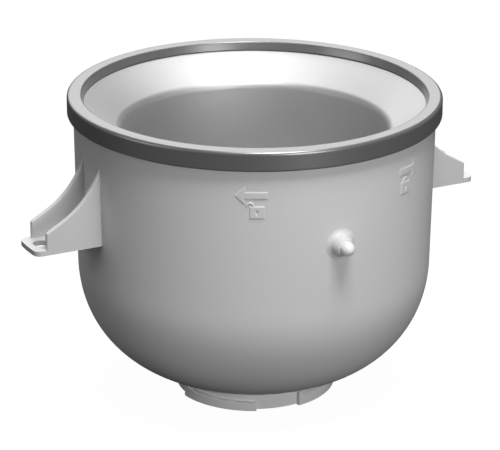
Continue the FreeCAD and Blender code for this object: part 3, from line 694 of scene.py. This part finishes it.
def makePin():
    # A lathe surface about the pin's axis: a short straight stem, then a half-round dome.
    low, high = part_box("latch_pin")
    height, root = (low.z + high.z) / 2, boss["reach"]
    dome = -low.y - pin["radius"]
    turn = np.linspace(0, math.pi / 2, pin["domeSteps"])
    radius, edge = pin["radius"], pin["rootEdge"]
    depth = root - pin["rootDepth"]
    radii = np.concatenate([[0, radius - edge, radius, radius], radius * np.cos(turn)])
    stem = [depth, depth, depth + edge, root + boss["dish"]]
    reaches = np.concatenate([stem, dome + radius * np.sin(turn)])
    x, z = aroundPin(radii, pin["columns"], height)
    points = np.stack([x, -np.broadcast_to(reaches[:, None], x.shape), z], axis=-1)
    faces = gridFaces(len(radii), pin["columns"], False, True)
    addPiece("latchPin", points, faces, pinPlasticAndHighlight, "bowl", ["latch_pin"])


def makeBoss():
    # The boss follows the wall: its foot starts a little under the curved wall, a quarter-round fillet leads
    # up to a straight taper, and its tip is flat. A ring's reach is the wall's own reach there, blended
    # towards the reach on the pin's axis by a power of how far up the boss the ring is, plus its rise.
    low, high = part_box("latch_pin")
    height = (low.z + high.z) / 2
    surface = wallRadius(height)
    lift = boss["reach"] - surface
    bend = np.linspace(0, 1, boss["filletSteps"]) * math.pi / 2
    taper = np.linspace(0, 1, boss["taperSteps"])[1:]
    soft, edge = boss["tipSoftness"], boss["tipEdge"]
    footRadii = boss["rootRadius"] + boss["fillet"] * (1 - np.sin(bend))
    footRises = boss["fillet"] * (1 - np.cos(bend))
    flankRadii = boss["rootRadius"] + (boss["tipRadius"] - boss["rootRadius"]) * taper
    flankRises = boss["fillet"] + (lift - boss["fillet"] - edge) * taper
    tipRadii = [boss["tipRadius"] - soft, boss["tipRadius"] - edge, pin["radius"] - edge, 0]
    radii = np.concatenate([[0, footRadii[0]], footRadii, flankRadii, tipRadii])
    sunk = [-boss["sunk"], -boss["sunk"]]
    rises = np.concatenate([sunk, footRises, flankRises, [lift - soft, lift, lift, lift - boss["dish"]]])
    x, z = aroundPin(radii, pin["columns"], height)
    wallThere = np.sqrt(wallRadius(z) ** 2 - x ** 2)
    share = np.clip(rises[:, None] / lift, 0, 1) ** boss["blendPower"]
    reach = wallThere * (1 - share) + surface * share + rises[:, None] - boss["wallGap"]
    points = np.stack([x, -reach, z], axis=-1)
    faces = gridFaces(len(radii), pin["columns"], False, True)
    addPiece("pinBoss", points, faces, whitePlastic, "bowl", [])


makePin()
makeBoss()
print("pin ready")


rim = {
    "outerRound": 0.0022,
    "innerRound": 0.0014,
    "lowerRound": 0.0012,
    "mouthRadius": 0.1076,
    "lipRadius": 0.1057,
    "lipDepth": 0.0055,
    "skirtRadius": 0.11272,
    "hiddenRound": 0.0003,
    "arcSteps": 8,
    "columns": 256,
}

liner = {
    "wall": 0.0016,
    "mouthRadius": 0.1062,
    "mouthRound": 0.0025,
    "bendRadius": 0.0836,
    "bendDrop": 0.0162,
    "bendRound": 0.0065,
    "taper": 1.6,               # degrees
    "floorHeight": 0.0500,
    "floorRound": 0.0280,
    "arcSteps": 14,
    "columns": 192,
}

seals = {
    "edgeRound": 0.0002,
    "clearance": 0.0004,        # between the ring seal's hole and the rim's lip
    "arcSteps": 3,
    "columns": 160,
}


def makeRim():
    # A closed profile through the skirt, the outer wall, the top and the lip, carried round the axis.
    low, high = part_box("rim_ring")
    outer, top, bottom = high.x, high.z, low.z
    lipBottom = top - rim["lipDepth"]
    profile = roundedPath([
        (rim["skirtRadius"], (bottom + lipBottom) / 2, 0),
        (rim["skirtRadius"], bottom, rim["hiddenRound"]),
        (outer, bottom, rim["lowerRound"]),
        (outer, top, rim["outerRound"]),
        (rim["mouthRadius"], top, rim["innerRound"]),
        (rim["lipRadius"], lipBottom, rim["hiddenRound"]),
        (rim["skirtRadius"], lipBottom, 0),
    ], rim["arcSteps"])
    lathePiece("rimRing", profile, rim["columns"], greyPlastic, "bowl", ["rim_ring"], True)


def movedCorners(corners, offset):
    # Straight runs moved sideways by offset, to the left of the path: corners move to where the moved runs
    # cross, and roundings shrink on left turns and grow on right turns.
    moved = [(corners[0][0], corners[0][1] - offset, 0)]
    for before, corner, after in zip(corners, corners[1:], corners[2:]):
        into = np.array(corner[:2]) - np.array(before[:2])
        onwards = np.array(after[:2]) - np.array(corner[:2])
        into, onwards = into / np.linalg.norm(into), onwards / np.linalg.norm(onwards)
        leftInto, leftOnwards = np.array([-into[1], into[0]]), np.array([-onwards[1], onwards[0]])
        step = (leftInto + leftOnwards) / (1 + leftInto @ leftOnwards) * offset
        turn = into[0] * onwards[1] - into[1] * onwards[0]
        moved.append((corner[0] + step[0], corner[1] + step[1], corner[2] - math.copysign(offset, turn)))
    moved.append((0.0, corners[-1][1] - offset, 0))
    return moved


def makeLiner():
    # The inside's profile from flange to floor, and the same profile moved out by the wall, carried round.
    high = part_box("inner_bowl")[1]
    flangeTop, flangeRadius = high.z, high.x
    bendHeight = flangeTop - liner["bendDrop"]
    taper = math.tan(math.radians(liner["taper"]))
    floorRadius = liner["bendRadius"] - (bendHeight - liner["floorHeight"]) * taper
    inside = [
        (flangeRadius, flangeTop, 0),
        (liner["mouthRadius"], flangeTop, liner["mouthRound"]),
        (liner["bendRadius"], bendHeight, liner["bendRound"]),
        (floorRadius, liner["floorHeight"], liner["floorRound"]),
        (0.0, liner["floorHeight"], 0),
    ]
    upper = roundedPath(inside, liner["arcSteps"])
    lower = roundedPath(movedCorners(inside, liner["wall"]), liner["arcSteps"])
    profile = np.vstack([upper[::-1], lower])
    columns = liner["columns"]
    lathePiece("innerBowl", profile, columns, satinMetal, "bowl", ["inner_bowl"], False)


def makeSeal(name, node, inner):
    # A flat ring with rounded edges, as wide as its node and from its inner radius.
    low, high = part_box(node)
    outer, middle = high.x, (low.z + high.z) / 2
    edge = min(seals["edgeRound"], (high.z - low.z) / 4)
    profile = roundedPath([
        (inner, middle, 0),
        (inner, low.z, edge),
        (outer, low.z, edge),
        (outer, high.z, edge),
        (inner, high.z, edge),
        (inner, middle + edge / 8, 0),
    ], seals["arcSteps"])
    lathePiece(name, profile, seals["columns"], darkRubber, "bowl", [node], True)


makeRim()
makeLiner()
makeSeal("rimSeal", "rim_seal", shell["topRadius"] - shell["wall"])
makeSeal("ringSeal", "ring_seal", rim["lipRadius"] + seals["clearance"])
makeSeal("plugSeal", "fill_plug_seal", shell["portRadius"])
print("rim, liner and seals ready")


kept = {
    "flatAngle": 0.4,           # degrees, below which neighbouring faces join into one
    "sharpAngle": 32,           # degrees, above which an edge gets a bevel
    "bevelWidth": 0.0005,
    "bevelSegments": 2,
}


def smoothCopy(nodeName, pieceName, material, body, bevelWidth):
    # A copy of a CAD node with its split corners merged, flat regions joined and its edges softly bevelled.
    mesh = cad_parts[nodeName].data.copy()
    mesh.name = pieceName
    mesh.materials.clear()
    mesh.materials.append(material)
    work = bmesh.new()
    work.from_mesh(mesh)
    bmesh.ops.remove_doubles(work, verts=work.verts, dist=meshing["mergeReach"])
    flat = math.radians(kept["flatAngle"])
    bmesh.ops.dissolve_limit(work, angle_limit=flat, verts=work.verts, edges=work.edges)
    bmesh.ops.recalc_face_normals(work, faces=work.faces)
    work.to_mesh(mesh)
    work.free()
    mesh.polygons.foreach_set("use_smooth", np.ones(len(mesh.polygons), bool))
    mesh.polygons.foreach_set("material_index", np.zeros(len(mesh.polygons), np.int32))
    mesh.set_sharp_from_angle(angle=math.radians(kept["sharpAngle"]))
    piece = bpy.data.objects.new(pieceName, mesh)
    scene.collection.objects.link(piece)
    bevel = piece.modifiers.new("softEdges", "BEVEL")
    bevel.limit_method = "ANGLE"
    bevel.angle_limit = math.radians(kept["sharpAngle"])
    bevel.width = bevelWidth
    bevel.segments = kept["bevelSegments"]
    evened = piece.modifiers.new("evenNormals", "WEIGHTED_NORMAL")
    evened.keep_sharp = True
    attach(piece, body)
    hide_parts(nodeName)


smoothCopy("left_bracket", "leftBracket", shadedFramePlastic, "bowl", kept["bevelWidth"])
smoothCopy("right_bracket", "rightBracket", shadedFramePlastic, "bowl", kept["bevelWidth"])
smoothCopy("adapter_ring", "baseRing", footPlastic, "base_ring", kept["bevelWidth"] / 2)
smoothCopy("fill_plug", "fillPlug", whitePlastic, "bowl", kept["bevelWidth"] / 2)

# The gel is sealed in and keeps its CAD mesh, with its own material.
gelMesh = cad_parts["freezing_gel"].data
gelMesh.materials.clear()
gelMesh.materials.append(gelFill)

print("all pieces ready")
